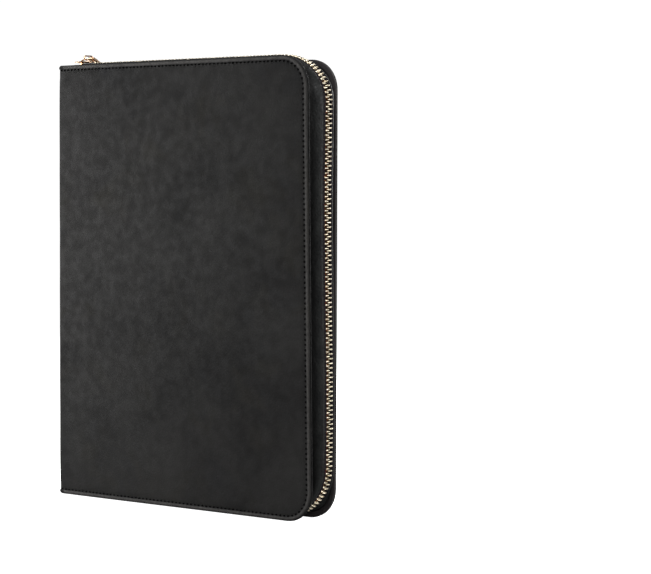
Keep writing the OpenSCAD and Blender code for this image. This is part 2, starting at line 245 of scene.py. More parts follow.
def thread(name, dark, light, rough, shine):
    s = Shader(name)
    s.set(Base_Color=s.mix(dark, light, s.noise(0.6)), Roughness=rough, Specular_IOR_Level=shine)
    s.bump(s.noise(0.25, 2), 0.05)
    return s.material


def woven_tape():
    """Herringbone tape in a dark purple-brown."""
    s = Shader("herringbone_tape")
    left = s.calc("ADD", s.axis("Y"), s.calc("ADD", s.axis("X"), s.axis("Z")))
    ribs = s.calc("SINE", s.calc("MULTIPLY", left, 9.0), 0)
    threads = s.calc("SINE", s.calc("MULTIPLY", s.axis("Y"), 14.0), 0)
    weave = s.ramp(s.calc("MULTIPLY", ribs, threads), -0.7, 0.8)
    colour = s.mix((0.0065, 0.005, 0.006), (0.022, 0.0165, 0.0185), weave)
    colour = s.mix(colour, (0.034, 0.027, 0.029), s.ramp(s.noise(0.5, 2), 0.62, 0.8, 0, 0.5))
    s.set(Base_Color=colour, Roughness=0.85, Specular_IOR_Level=0.1)
    s.bump(weave, 0.12)
    return s.material


def gold_plating(name, bright, dull, gloss):
    """Gold plating, brushed along the parts, with patches of dull tarnish."""
    s = Shader(name, follows_mesh=False)
    tarnish = s.ramp(s.noise(3.0, 4, 0.6), 0.38, 0.72)
    colour = s.mix(bright, dull, tarnish)
    s.set(Base_Color=colour, Metallic=1.0, Roughness=s.ramp(s.noise(0.8, 4), 0.3, 0.75, gloss, gloss + 0.14))
    s.bump(s.noise(0.4, 3, 0.6, 0, (0.3, 2, 2)), 0.02)
    return s.material


def bright_steel():
    s = Shader("plated_steel", follows_mesh=False)
    haze = s.ramp(s.noise(7, 4, 0.6), 0.35, 0.7)
    s.set(Base_Color=s.mix((0.80, 0.80, 0.82), (0.62, 0.62, 0.63), haze), Metallic=1.0)
    s.set(Roughness=s.ramp(s.noise(1.5, 5, 0.65, 0, (1, 1, 0.1)), 0.3, 0.75, 0.10, 0.26))
    s.bump(s.noise(0.8, 3, 0.6, 0, (2, 2, 0.08)), 0.012)
    return s.material


def tan_lining():
    """Smooth orange-tan lining leather with a fine print."""
    s = Shader("tan_lining_leather")
    colour = s.mix((0.66, 0.27, 0.088), (0.75, 0.335, 0.120), s.ramp(s.noise(38, 3, 0.55, 0.4), 0.3, 0.7))
    colour = s.mix(colour, (0.60, 0.23, 0.07), s.ramp(s.noise(4, 4, 0.6), 0.55, 0.8, 0, 0.28))
    print_lines = s.cells(0.8, "DISTANCE_TO_EDGE")
    s.set(Base_Color=colour, Roughness=s.ramp(s.noise(3, 4), 0.3, 0.7, 0.42, 0.56), Specular_IOR_Level=0.4)
    grain = s.bump(s.ramp(print_lines, 0.0, 0.12), 0.02)
    s.bump(s.noise(6, 3), 0.10, grain)
    return s.material


def window_film():
    s = Shader("soft_clear_film")
    s.set(Base_Color=s.mix((0.72, 0.27, 0.10), (0.80, 0.33, 0.13), s.noise(20, 2)))
    s.set(Roughness=s.ramp(s.noise(12, 3), 0.3, 0.7, 0.16, 0.3), Coat_Weight=0.5, Coat_Roughness=0.12)
    s.bump(s.noise(14, 2), 0.25)
    return s.material


def grey_board():
    s = Shader("pressed_grey_board", follows_mesh=False)
    fibres = s.noise(0.8, 4, 0.7, 0, (1, 1, 0.2))
    s.set(Base_Color=s.mix((0.30, 0.27, 0.22), (0.46, 0.42, 0.36), s.ramp(fibres, 0.3, 0.7)), Roughness=0.9)
    s.bump(fibres, 0.06)
    return s.material


def pale_floor():
    """Nearly white to the camera, and darker to the light that it throws back on the case."""
    s = Shader("pale_floor", follows_mesh=False)
    seen = s.node("LightPath").outputs["Is Camera Ray"]
    pale = s.mix((0.90, 0.90, 0.90), (0.93, 0.93, 0.925), s.noise(120, 2))
    s.set(Base_Color=s.mix((0.20, 0.20, 0.20), pale, seen), Roughness=0.75)
    glow = s.calc("MULTIPLY", seen, 0.90)
    s.set(Emission_Color=(1.0, 1.0, 1.0), Emission_Strength=glow)
    return s.material


NUBUCK, WALL, EDGE = nubuck(), wall_leather(), edge_leather()
BLACK_THREAD = thread("waxed_black_thread", (0.0005, 0.0005, 0.0005), (0.003, 0.003, 0.003), 0.8, 0.05)
TAN_THREAD = thread("tan_thread", (0.80, 0.36, 0.13), (0.95, 0.55, 0.26), 0.6, 0.5)
PALE_GOLD = gold_plating("pale_gold_plating", (0.82, 0.735, 0.575), (0.62, 0.52, 0.36), 0.32)
WARM_GOLD = gold_plating("warm_gold_plating", (0.80, 0.58, 0.40), (0.42, 0.25, 0.13), 0.22)
STEEL, TAN, FILM, BOARD, TAPE = bright_steel(), tan_lining(), window_film(), grey_board(), woven_tape()


# ---------- mesh helpers ----------

def mesh_piece(name, points, faces, material, slot, wear_and_painted_light=None):
    """A smooth mesh object from points in millimetres.

    Its places at rest, and a number at each for real wear and for painted light and shade, are kept for the
    materials.
    """
    points = np.asarray(points, float)
    mesh = bpy.data.meshes.new(name)
    mesh.from_pydata((points * MM).tolist(), [], faces)
    rest = mesh.attributes.new("rest", "FLOAT_VECTOR", "POINT")
    rest.data.foreach_set("vector", points.astype(np.float32).ravel())
    if wear_and_painted_light is not None:
        mesh.attributes.new("wear_and_painted_light", "FLOAT", "POINT").data.foreach_set("value", np.asarray(wear_and_painted_light, np.float32))
    mesh.polygons.foreach_set("use_smooth", [True] * len(mesh.polygons))
    mesh.materials.append(material)
    piece = bpy.data.objects.new(name, mesh)
    bpy.context.scene.collection.objects.link(piece)
    return piece and piece


def solidify(piece, thickness, offset=-1.0):
    skin = piece.modifiers.new("thickness", "SOLIDIFY")
    skin.thickness, skin.offset = thickness * MM, offset


def bevel(piece, width):
    edge = piece.modifiers.new("rounded_edges", "BEVEL")
    edge.width, edge.segments, edge.limit_method = width * MM, 2, "ANGLE"


def undulation(x, z, size, seed):
    """Slow noise from -1 to 1 at each place, for leather that isn't quite flat."""
    flat = [noise.noise(Vector((a / size, b / size, seed))) for a, b in zip(np.ravel(x), np.ravel(z))]
    return np.array(flat).reshape(np.shape(x))


ARC_STEPS, SIDE_STEPS, RUN_STEPS = 14, 60, 42


def panel(x0, x1, z0, z1, r, r0=0.0, run=None):
    """Grid of (x, z) places over a panel with round corners at the fore-edge, and at x0 if r0 isn't 0."""
    turn = np.linspace(0, math.pi / 2, ARC_STEPS + 1)
    if run is None:
        run = np.linspace(x0 + r0, x1 - r, RUN_STEPS + 1)
    xs = np.concatenate([run, x1 - r + r * np.sin(turn[1:])])
    drop = np.concatenate([np.zeros(len(run)), r - r * np.cos(turn[1:])])
    if r0:
        xs = np.concatenate([(x0 + r0 - r0 * np.sin(turn[1:]))[::-1], xs])
        drop = np.concatenate([(r0 - r0 * np.cos(turn[1:]))[::-1], drop])
    share = np.linspace(0, 1, SIDE_STEPS + 1)
    low, high = z0 + drop, z1 - drop
    z = low[:, None] + (high - low)[:, None] * share
    return np.stack([np.repeat(xs[:, None], SIDE_STEPS + 1, axis=1), z], axis=-1)


def rim(grid):
    """The grid's border along the top, down the fore-edge and back along the bottom."""
    return np.concatenate([grid[:, -1], grid[-1, -2::-1], grid[-2::-1, 0]])


def rim_numbers(columns, rows):
    """Vertex numbers of the same border in a grid that is numbered row by row."""
    return rim(np.arange(columns * rows).reshape(columns, rows)).tolist()


def grid_faces(columns, rows, first=0, flip=False):
    faces = []
    for i in range(columns - 1):
        for j in range(rows - 1):
            a = first + i * rows + j
            quad = (a, a + rows, a + rows + 1, a + 1)
            faces.append(quad[::-1] if flip else quad)
    return faces


def strip_faces(inner, outer, flip=False):
    faces = []
    for k in range(len(inner) - 1):
        quad = (inner[k], inner[k + 1], outer[k + 1], outer[k])
        faces.append(quad[::-1] if flip else quad)
    return faces


def loft(rings, closed_profile=True, flip=False, caps=True):
    """Points and faces of a tube or band: each ring is one line of places along its length."""
    count, length = len(rings), len(rings[0])
    points = np.concatenate(rings)
    lines = [list(range(k * length, (k + 1) * length)) for k in range(count)]
    faces = []
    for k in range(count if closed_profile else count - 1):
        faces += strip_faces(lines[k], lines[(k + 1) % count], flip)
    if closed_profile and caps:
        start, end = [line[0] for line in lines], [line[-1] for line in lines]
        faces.append(tuple(start) if flip else tuple(start[::-1]))
        faces.append(tuple(end[::-1]) if flip else tuple(end))
    return points, faces


def smooth(share):
    share = np.clip(share, 0, 1)
    return share * share * (3 - 2 * share)


# How far the front cover's fore-edge leans out at the top and in at the foot
TWIST = 2.4
# How much lower the back cover's fore-edge hangs at its foot, and how much more at its top
DROP, TOP_DROP = 0.2, 1.0
# How far the closed chain wanders towards the back, at heights that are shares of the case's height
WANDER = [
    (0.0, 0.8), (0.10, 1.9), (0.28, 2.0), (0.50, 0.5), (0.71, -0.6), (0.84, 0.0), (0.92, 0.7), (1.0, 0.5),
]


def twist(x, z, side):
    """The front cover stands slightly twisted: its fore-edge leans out at the top and in at the foot."""
    if side == BACK:
        return 0.0
    return -TWIST * smooth(x / CASE_W) * (2 * z / CASE_H - 1.0)


def drop(x, z, side):
    """The back cover hangs a little lower at its fore-edge, mostly at the top."""
    if side == FRONT:
        return np.zeros_like(x)
    return -(DROP + TOP_DROP * z / CASE_H) * smooth(x / CASE_W)


def wander(x, z):
    """The stitched chain isn't quite straight along the fore-edge."""
    heights, drift = zip(*WANDER)
    eased = np.convolve(np.interp(np.linspace(-0.1, 1.1, 49), heights, drift), np.ones(9) / 9, "valid")
    fine = np.interp(np.clip(z / CASE_H, 0, 1), np.linspace(0, 1, 41), eased)
    return fine * smooth((x - PATH_X + PATH_R) / PATH_R)


def at_depth(flat, depth, side, free=0.0):
    """(x, z) places put at a depth inward from the outer face of the front or back cover.

    free is 0 for what lies on the cover and 1 for what hangs on the chain.
    """
    x, z = flat[..., 0], flat[..., 1]
    y = side * (HALF_T - np.broadcast_to(depth, x.shape))
    y = y + twist(x, z, side) * (1 - free) + wander(x, z) * free
    return np.stack([x, y, z + drop(x, z, side) * (1 - free)], axis=-1)


def cover_panel(inset, run):
    return panel(0, CASE_W - inset, inset, CASE_H - inset, CORNER_R - inset, run=run)


def zip_rim(out, x0):
    return rim(panel(x0, PATH_X + out, PATH_FOOT - out, PATH_TOP + out, PATH_R + out))


def lengths_along(line):
    return np.concatenate([[0], np.cumsum(np.linalg.norm(np.diff(line, axis=0), axis=1))])


def sample(line, gone, at):
    """Values of a polyline's three columns at distances along it."""
    return np.stack([np.interp(at, gone, line[:, k]) for k in range(3)], axis=1)


def resample(line, step, phase=0.5):
    """Places and unit tangents at even steps along a polyline."""
    line = np.asarray(line, float)
    gone = lengths_along(line)
    at = (np.arange(int(gone[-1] / step)) + phase) * step
    near = 0.2
    tangent = sample(line, gone, at + near) - sample(line, gone, at - near)
    return sample(line, gone, at), tangent / np.linalg.norm(tangent, axis=1, keepdims=True)


def copies(template, faces, places, along, across, up):
    """Many turned copies of one small mesh, merged."""
    points, all_faces = [], []
    for k in range(len(places)):
        basis = np.stack([along[k], across[k], up[k]])
        points.append(places[k] + template @ basis)
        all_faces += [tuple(v + k * len(template) for v in face) for face in faces]
    return np.concatenate(points), all_faces


def capped_tube(sections):
    """Points and faces of a solid through a list of closed sections with equal counts."""
    count, around = len(sections), len(sections[0])
    points = np.concatenate(sections)
    faces = []
    for k in range(count - 1):
        for j in range(around):
            a, b = k * around + j, k * around + (j + 1) % around
            faces.append((a, b, b + around, a + around))
    faces.append(tuple(range(around))[::-1])
    faces.append(tuple(range((count - 1) * around, count * around)))
    return points, faces


def stitch_template(length, radius):
    """One stitch: a short thread that dives into the leather at both ends."""
    sections = []
    for t in np.linspace(-1, 1, 7):
        fat = radius * math.sqrt(max(0.12, 1 - 0.75 * t ** 4))
        lift = radius * (0.55 - 1.5 * t ** 4)
        ring = [(t * length / 2, fat * math.cos(a), lift + fat * math.sin(a))
                for a in np.linspace(0, 2 * math.pi, 7)[:-1]]
        sections.append(np.array(ring))
    return capped_tube(sections)


def stitches(name, line, up, pitch, length, radius, material, slot):
    """A row of stitches along a polyline; up is the outward direction at each of its places."""
    line, up = np.asarray(line, float), np.asarray(up, float)
    place, tangent = resample(line, pitch)
    normal = sample(up, lengths_along(line), (np.arange(len(place)) + 0.5) * pitch)
    normal /= np.linalg.norm(normal, axis=1, keepdims=True)
    slant = np.cross(normal, tangent)
    tilt = math.radians(7)
    along = tangent * math.cos(tilt) + slant * math.sin(tilt)
    across = np.cross(normal, along)
    points, faces = copies(*stitch_template(length, radius), place, along, across, normal)
    return mesh_piece(name, points, faces, material, slot)


# ---------- outer leather ----------

SKIN_T = 0.6
STITCH_INSET, STITCH_LEVEL = 2.8, -0.14
STITCH_PITCH, STITCH_LENGTH, THREAD_R = 2.8, 1.45, 0.42
# Section of a cover's edge: distance in from the edge, and height over the outer face
EDGE_SECTION = [
    (9.0, 0.14), (7.4, 0.13), (6.0, 0.10), (4.9, 0.05), (4.2, 0.0), (3.7, -0.05), (3.3, -0.11),
    (2.95, -0.15), (2.65, -0.15), (2.35, -0.09), (2.05, -0.02), (1.7, 0.07), (1.3, 0.08), (0.95, 0.02),
    (0.62, -0.08), (0.34, -0.19), (0.12, -0.33), (0.0, -0.49), (0.07, -0.64), (0.45, -0.74),
    (1.2, -0.78), (2.2, -0.80),
]
HALF_SPINE = HALF_T - FOLD_R
SPINE_MIDDLE = FOLD_R - FOLD_R * math.pi / 2 - HALF_SPINE


def wrap(u, z, height, side):
    """Places on the leather that runs from the spine's middle (u < 0), round the fold and over a cover."""
    turn = np.clip((FOLD_R - u) / FOLD_R, 0, math.pi / 2)
    past = np.maximum(FOLD_R - FOLD_R * math.pi / 2 - u, 0)
    reach = FOLD_R + height
    x = np.where(u >= FOLD_R, u, FOLD_R - reach * np.sin(turn))
    y = np.where(u >= FOLD_R, HALF_T + height, HALF_T - FOLD_R + reach * np.cos(turn) - past)
    flat_x = np.maximum(u, 0)
    return np.stack([x, side * y + twist(flat_x, z, side), z + drop(flat_x, z, side)], axis=-1)


def skin_run():
    spine = np.linspace(SPINE_MIDDLE, FOLD_R - FOLD_R * math.pi / 2, 8)
    lap = SPINE_MIDDLE - np.array([0.12, 0.06])
    fold = np.linspace(spine[-1], FOLD_R, 9)[1:]
    cover = np.linspace(FOLD_R, CASE_W - CORNER_R, 46)[1:]
    return np.concatenate([lap, spine, fold, cover])


def padded_height(flat, seed):
    """The leather swells inside its seam, is slack in the middle and follows the board."""
    inset0, height0 = EDGE_SECTION[0]
    u, z = flat[..., 0], flat[..., 1]
    in_from_edge = np.minimum.reduce([CASE_W - u, z, CASE_H - z]) - inset0
    inward = 1 - np.exp(-np.maximum(in_from_edge, 0) / 9)
    slack = 0.16 * undulation(u, z, 42, seed) + 0.07 * undulation(u, z, 15, seed + 5)
    near_fold = np.exp(-((u - 9) / 6.0) ** 2) * 0.12
    return height0 + inward * (0.20 + slack - near_fold)


def seam_level(u, inset, level):
    """The seam's groove fades out round the fold of the spine."""
    if inset < 0.5:
        return level + 0 * u
    return level * (0.15 + 0.85 * smooth((u - 0.5) / 4))


def cover_skin(name, side, seed, nodes):
    run = skin_run()
    flip = side == BACK
    flat = cover_panel(EDGE_SECTION[0][0], run)
    columns, rows = flat.shape[:2]
    height = padded_height(flat, seed)
    points = [wrap(flat[..., 0], flat[..., 1], height, side).reshape(-1, 3)]
    worn = [np.zeros(columns * rows)]
    faces = grid_faces(columns, rows, flip=flip)
    inner = rim_numbers(columns, rows)
    first = columns * rows
    for inset, level in EDGE_SECTION[1:]:
        line = rim(cover_panel(inset, run))
        wear_and_painted_light = 0.035 * undulation(line[:, 0], line[:, 1], 7, seed + inset)
        points.append(wrap(line[:, 0], line[:, 1], seam_level(line[:, 0], inset, level) + wear_and_painted_light, side))
        # The rolled margin near the edge is marked for a lighter colour: partly real wear, partly a painted
        # highlight
        worn.append(np.full(len(line), smooth((2.3 - inset) / 0.6) * smooth((level + 0.26) / 0.30)))
        outer = list(range(first, first + len(line)))
        faces += strip_faces(inner, outer, flip)
        inner, first = outer, first + len(line)
    piece = mesh_piece(name, np.concatenate(points), faces, NUBUCK, "outer_leather", np.concatenate(worn))
    solidify(piece, SKIN_T)
    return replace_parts(piece, *nodes)


def seam_line(side, inset, level):
    line = rim(cover_panel(inset, skin_run()))
    line = line[line[:, 0] > FOLD_R * 0.4]
    height = seam_level(line[:, 0], inset, level)
    place = wrap(line[:, 0], line[:, 1], height, side)
    return place, wrap(line[:, 0], line[:, 1], height + 1, side) - place


def bend_at_fold(piece):
    """Bakes the piece's placement into its points."""
    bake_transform(piece)


COVERS = [("front", FRONT, "front_cover", 3.0), ("back", BACK, "back_cover", 11.0)]
for label, side, body, seed in COVERS:
    stands_for = ["front_leather", "spine_leather"] if side == FRONT else ["back_leather"]
    skin = cover_skin(f"{label}_cover_skin", side, seed, stands_for)
    bend_at_fold(skin)
    line, up = seam_line(side, STITCH_INSET, STITCH_LEVEL)
    seam = stitches(f"{label}_cover_seam", line, up, STITCH_PITCH, STITCH_LENGTH, THREAD_R,
                    BLACK_THREAD, "outer_leather")
    bend_at_fold(seam)


# ---------- lips, walls and tapes ----------

STRIP_X = FOLD_X + 0.3
# Section of the lip under a cover's edge: distance in from the edge, and depth
LIP_SECTION = [
    (4.2, 1.22), (1.3, 1.24), (0.5, 1.28), (0.08, 1.38), (-0.12, 1.52), (-0.16, 1.66), (-0.10, 1.80),
    (0.10, 1.91), (0.5, 1.97), (2.2, 2.00), (4.2, 2.02),
]
WALL_T = 0.7
# How far the lips and the tapes are drawn in at the spine
LIP_SINK, TAPE_SINK = 0.6, 2.2
# How far the zip's top run sags, and how much more it sags at the corner
SAG, CORNER_SAG = 0.55, 0.7
# The walls' depths at the lip and at the tape, and how far in from the cover's edge they start
WALL_FOOT_D, WALL_TOP_D, WALL_INSET = 2.06, 8.6, 3.4


def strip_run():
    return np.linspace(STRIP_X, CASE_W - CORNER_R, RUN_STEPS + 1)


def sink(line, most):
    """The strips between the covers run in under the ends of the spine."""
    near = 1 - smooth((line[:, 0] - STRIP_X) / 8)
    inward = np.sign(CASE_H / 2 - line[:, 1]) * most * near
    return line + np.column_stack([np.zeros(len(line)), inward])


def settle(line):
    """The zip's top run sags a little, and more where it comes to the corner."""
    sag = SAG + CORNER_SAG * smooth((line[:, 0] - CASE_W + 30) / 16)
    near_top = smooth((line[:, 1] - CASE_H + 18) / 14)
    return line - np.column_stack([np.zeros(len(line)), sag * near_top])


def cover_lip(name, side, seed):
    rings, lit = [], []
    for inset, depth in LIP_SECTION:
        line = sink(rim(cover_panel(inset, strip_run())), LIP_SINK)
        wear_and_painted_light = 0.04 * undulation(line[:, 0], line[:, 1], 6, seed + depth)
        rings.append(at_depth(line, depth + wear_and_painted_light, side))
        # Painted light: the back lip's deeper part, which lies in shade, is marked to be lightened
        lit.append(np.full(len(line), smooth((depth - 1.5) / 0.4) if side == BACK else 0.0))
    return mesh_piece(name, *loft(rings, flip=side == BACK), EDGE, "edge_leather", np.concatenate(lit))


def wall_line(share, thinner, seed):
    """The soft wall's outline at a share of its way from the lip to the tape."""
    foot = rim(cover_panel(WALL_INSET + thinner, strip_run()))
    head = settle(zip_rim(0.45 - thinner, STRIP_X))
    ease = math.sin(share * math.pi / 2) ** 1.8
    line = foot + (head - foot) * ease
    centre = np.array([CASE_W / 2, CASE_H / 2])
    outward = (line - centre) / np.linalg.norm(line - centre, axis=1, keepdims=True)
    middle = math.sin(share * math.pi)
    folds = 0.20 * undulation(line[:, 0], line[:, 1], 9, seed + share * 1.5)
    from_corner = np.column_stack([line[:, 0] - CASE_W, np.abs(line[:, 1] - CASE_H / 2) - CASE_H / 2]) + 6
    corner = np.exp(-(from_corner[:, 0] / 12) ** 2) * np.exp(-(from_corner[:, 1] / 12) ** 2)
    creases = 0.22 * corner * np.sin(line[:, 1] * 2.4 + seed)
    return sink(line + outward * ((folds + creases) * middle)[:, None], TAPE_SINK * share)


def soft_wall(name, side, seed):
    shares = np.linspace(0, 1, 13)
    depths = WALL_FOOT_D + (WALL_TOP_D - WALL_FOOT_D) * shares
    outer = [at_depth(wall_line(s, 0, seed), d, side, smooth(s)) for s, d in zip(shares, depths)]
    inner = [at_depth(wall_line(s, WALL_T, seed), d, side, smooth(s)) for s, d in zip(shares, depths)]
    points, faces = loft(outer + inner[::-1], flip=side == BACK)
    # Painted shade towards the wall's foot under the lip: strong on the front wall, faint on the back
    shade = (1 - shares) * (1.0 if side == FRONT else 0.25)
    painted_crevice_shade = np.repeat(np.concatenate([shade, shade[::-1]]), len(outer[0]))
    return mesh_piece(name, points, faces, WALL, "edge_leather", painted_crevice_shade)


# Section of the tape: distance out from the zip's middle line, and distance from the case's mid-plane
TAPE_SECTION = [
    (0.02, 5.3), (0.06, 4.7), (0.10, 4.1), (0.20, 3.6), (0.42, 3.2), (0.66, 2.9), (0.68, 2.6), (0.42, 2.35),
    (0.0, 2.25), (-0.42, 2.35), (-0.68, 2.6), (-0.66, 2.9), (-0.42, 3.2), (-0.35, 3.6), (-0.40, 4.1),
    (-0.40, 4.7), (-0.40, 5.3),
]


def zip_tape(name, side):
    rings = [at_depth(sink(settle(zip_rim(out, STRIP_X)), TAPE_SINK), HALF_T - y, side, 1.0)
             for out, y in TAPE_SECTION]
    return mesh_piece(name, *loft(rings, flip=side == BACK), TAPE, "zip_tape")


for label, side, body, seed in COVERS:
    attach(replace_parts(cover_lip(f"{label}_edge_lip", side, seed), f"{label}_welt"), body)
    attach(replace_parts(soft_wall(f"{label}_wall", side, seed), f"{label}_gusset"), body)
    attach(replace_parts(zip_tape(f"{label}_tape", side), f"{label}_zip_tape"), body)


# ---------- zip teeth, slider and pull ----------

def tooth_template():
    """One tooth, from the jaws round the tape's cord to the head.

    Stations are (distance from the mid-plane, half width along the chain, half height).
    """
    stations = [
        (2.72, 0.26, 0.55), (2.58, 0.40, 0.85), (2.32, 0.46, 1.0), (1.9, 0.48, 1.05), (1.4, 0.46, 1.05),
        (0.9, 0.40, 0.98), (0.45, 0.31, 0.86), (0.0, 0.28, 0.80), (-0.30, 0.26, 0.74), (-0.50, 0.14, 0.5),
    ]
    corner = [(1, 0.45), (0.62, 1), (-0.62, 1), (-1, 0.45)]
    corner += [(-a, -b) for a, b in corner]
    return capped_tube([np.array([(a * wide, across, b * high) for a, b in corner])
                        for across, wide, high in stations])


def teeth_row(name, side, phase):
    line = at_depth(settle(zip_rim(0, TEETH_X)), HALF_T, side, 1.0)
    place, tangent = resample(line, TOOTH_PITCH, phase)
    across = np.repeat([[0, side, 0]], len(place), axis=0).astype(float)
    up = np.cross(tangent, [0, 1, 0]) * -1
    points, faces = copies(*tooth_template(), place, tangent, across, up)
    if side == FRONT:
        faces = [face[::-1] for face in faces]
    return mesh_piece(name, points, faces, PALE_GOLD, "zip_metal")


def wing(level, direction):
    """Rounded slider plate; level is its inner face, and direction points away from the teeth."""
    def outline(shrink):
        nose, tail, half = 4.6 - shrink, 3.3 - shrink, 5.6 - shrink
        corners = [(-half, nose - 1.4), (-half + 0.5, nose - 0.4), (-half + 1.6, nose), (1.0, nose),
                   (half - 1.6, tail + 0.3), (half - 0.5, tail - 0.2), (half, tail - 1.2)]
        return corners + [(x, -y) for x, y in corners[::-1]]
    layers = [(0.25, 0.0), (0.0, 0.14), (0.0, 0.42), (0.16, 0.62), (0.5, 0.74), (1.4, 0.84)]
    points, faces = capped_tube([np.array([(x, y, level + direction * up) for x, y in outline(shrink)])
                                 for shrink, up in layers])
    return points, [f[::-1] for f in faces] if direction > 0 else faces


def arch(reach, top, foot, width, thick):
    """The bridge: a strap that rises from the nose, passes over the plate and comes down at the tail."""
    sections = []
    for t in np.linspace(-1, 1, 21):
        x, z = reach * t, foot + (top - foot) * (1 - abs(t) ** 2.1)
        slope = math.atan2(-(top - foot) * 2.1 * abs(t) ** 1.1 * math.copysign(1, t), reach)
        half_w = width * (0.5 + 0.28 * abs(t) ** 2)
        ring = []
        for a in np.linspace(0, 2 * math.pi, 13)[:-1]:
            y, r = half_w * math.cos(a), thick / 2 * math.sin(a)
            ring.append((x - r * math.sin(slope), y, z + r * math.cos(slope)))
        sections.append(np.array(ring))
    return capped_tube(sections)


def merge(parts):
    points, faces, first = [], [], 0
    for more_points, more_faces in parts:
        points.append(more_points)
        faces += [tuple(v + first for v in face) for face in more_faces]
        first += len(more_points)
    return np.concatenate(points), faces


def block(low, high):
    (x0, y0, z0), (x1, y1, z1) = low, high
    ring = np.array([(x0, y0), (x1, y0), (x1, y1), (x0, y1)])
    return capped_tube([np.column_stack([ring, np.full(4, z)]) for z in (z0, z1)])


def slider(name):
    """Two plates on both sides of the chain, the divider between them and the bridge that holds the link."""
    channel = 1.27
    divider = block((-4.9, -0.15, -1.4), (-1.9, 0.15, 1.4))
    bridge = arch(reach=4.7, top=2.75 + SAG, foot=1.5, width=1.15, thick=0.80)
    points, faces = merge([wing(channel, 1), wing(-channel, -1), bridge, divider])
    points = points + np.array([(slider_low[0] + slider_high[0]) / 2, 0, PATH_TOP - SAG])
    piece = mesh_piece(name, points, faces, WARM_GOLD, "zip_metal")
    bevel(piece, 0.06)
    return piece


def end_stops(name, side, node):
    """The small stops clamped on the cord at both ends of a tape."""
    low, high = box_mm(node)
    half = np.array([0.45, (high[1] - low[1]) / 2, 0.9])
    parts = []
    for z in (PATH_TOP, PATH_FOOT):
        flat = sink(settle(np.array([[low[0] + 0.65, z]])), TAPE_SINK)
        spot = at_depth(flat, HALF_T - 2.3, side, 1.0)[0]
        parts.append(block(spot - half, spot + half))
    piece = mesh_piece(name, *merge(parts), WARM_GOLD, "zip_metal")
    bevel(piece, 0.2)
    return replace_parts(piece, node)


for (label, side, body, _), phase in zip(COVERS, (0.25, 0.75)):
    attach(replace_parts(teeth_row(f"{label}_teeth", side, phase), f"{label}_zip_teeth"), body)
    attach(end_stops(f"{label}_stops", side, f"{label}_zip_stops"), body)
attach(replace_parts(slider("zip_slider_shell"), "slider_body"), "zip_slider")


# ---------- linings and pockets ----------

def sheet(name, side, area, depth, thick, lift, material=TAN, slot="lining_leather", edge=0.22):
    """A leather sheet with rounded edges.

    area is (x0, x1, z0, z1, r, r0), and lift(x, z) raises it towards the inside.
    """
    def laid(inset, inward):
        x0, x1, z0, z1, *radii = area
        radii = [max(r - inset, 0.3) for r in radii]
        flat = panel(x0 + inset, x1 - inset, z0 + inset, z1 - inset, *radii)
        return at_depth(flat, depth + inward + lift(flat[..., 0], flat[..., 1]), side)
    top, middle, foot = laid(edge, thick), laid(0, thick / 2), laid(edge, 0)
    columns, rows = top.shape[:2]
    border = rim_numbers(columns, rows) + list(range(1, rows - 1))
    points = np.concatenate([top.reshape(-1, 3), foot.reshape(-1, 3), middle.reshape(-1, 3)[border]])
    count = columns * rows
    flip = side == FRONT
    faces = grid_faces(columns, rows, 0, flip) + grid_faces(columns, rows, count, not flip)
    ring = list(range(2 * count, 2 * count + len(border)))
    closed = border + border[:1]
    faces += strip_faces(closed, ring + ring[:1], flip)
    faces += strip_faces([v + count for v in closed], ring + ring[:1], not flip)
    return mesh_piece(name, points, faces, material, slot)


def lining_lift(side):
    """The lining is soft over its board, and the rings press faint dents beside the spine."""
    def lift(x, z):
        inside = np.minimum.reduce([x - lining_low[0], CASE_W - 4 - x, z - 4, CASE_H - 4 - z])
        swell = 0.30 * (1 - np.exp(-np.maximum(inside, 0) / 4))
        slack = 0.14 * undulation(x, z, 34, 4 + side) + 0.05 * undulation(x, z, 12, 9 + side)
        dents = sum(np.exp(-((z - c) / 1.6) ** 2) for c in RING_HEIGHTS) * np.exp(-((x - 15) / 5) ** 2)
        return swell + slack * np.clip(inside / 8, 0, 1) - 0.30 * dents
    return lift


RING_PITCH, RING_GAP = 19.0, 70.0
RING_HEIGHTS = [CASE_H / 2 + s * (RING_GAP / 2 + k * RING_PITCH) for s in (-1, 1) for k in range(3)]
LINING_R = CORNER_R - 2.4
POCKET_R = 22.0
EDGE_GAP = 1.6
SHEET_T = 0.45
lining_area = (lining_low[0], lining_high[0] - EDGE_GAP, lining_low[2] + EDGE_GAP, lining_high[2] - EDGE_GAP,
               LINING_R - EDGE_GAP, 1.6)
# The pockets end a little short of the lining, clear of the walls
POCKET_FOOT, POCKET_HEAD = lining_area[2] + 0.4, lining_area[3] - 0.4
for label, side, body, seed in COVERS:
    lining = sheet(f"{label}_lining_sheet", side, lining_area, LINING_D, SHEET_T, lining_lift(side))
    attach(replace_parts(lining, f"{label}_lining"), body)


def gaping(mouth_x, most, reach):
    """A pocket mouth along a vertical edge stands open, most in the middle of its height."""
    def lift(x, z):
        along = np.sin(np.clip(z / CASE_H, 0, 1) * math.pi) ** 0.8
        laid = 0.30 + 0.06 * undulation(x, z, 22, mouth_x)
        return laid + most * np.exp(-(x - mouth_x) / reach) * along
    return lift


def slot_mouth(top, most):
    """A card slot's mouth along its upper edge stands a little open in the middle of its width."""
    middle, half = (strip_low[0] + strip_high[0]) / 2, (strip_high[0] - strip_low[0]) / 2

    def lift(x, z):
        across = np.clip(1 - ((x - middle) / half) ** 2, 0, 1)
        return 0.34 + most * np.exp(-np.maximum(top - z, 0) / 3.0) * (0.35 + 0.65 * across)
    return lift


def depth_of(low):
    return HALF_T + low[1]


def pocket(name, node, lift, corner_r):
    low, high = box_mm(node)
    area = (low[0], high[0] - EDGE_GAP, max(low[2], POCKET_FOOT), min(high[2], POCKET_HEAD), corner_r, 0.6)
    piece = sheet(name, FRONT, area, depth_of(low), SHEET_T, lift)
    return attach(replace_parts(piece, node), "front_cover")


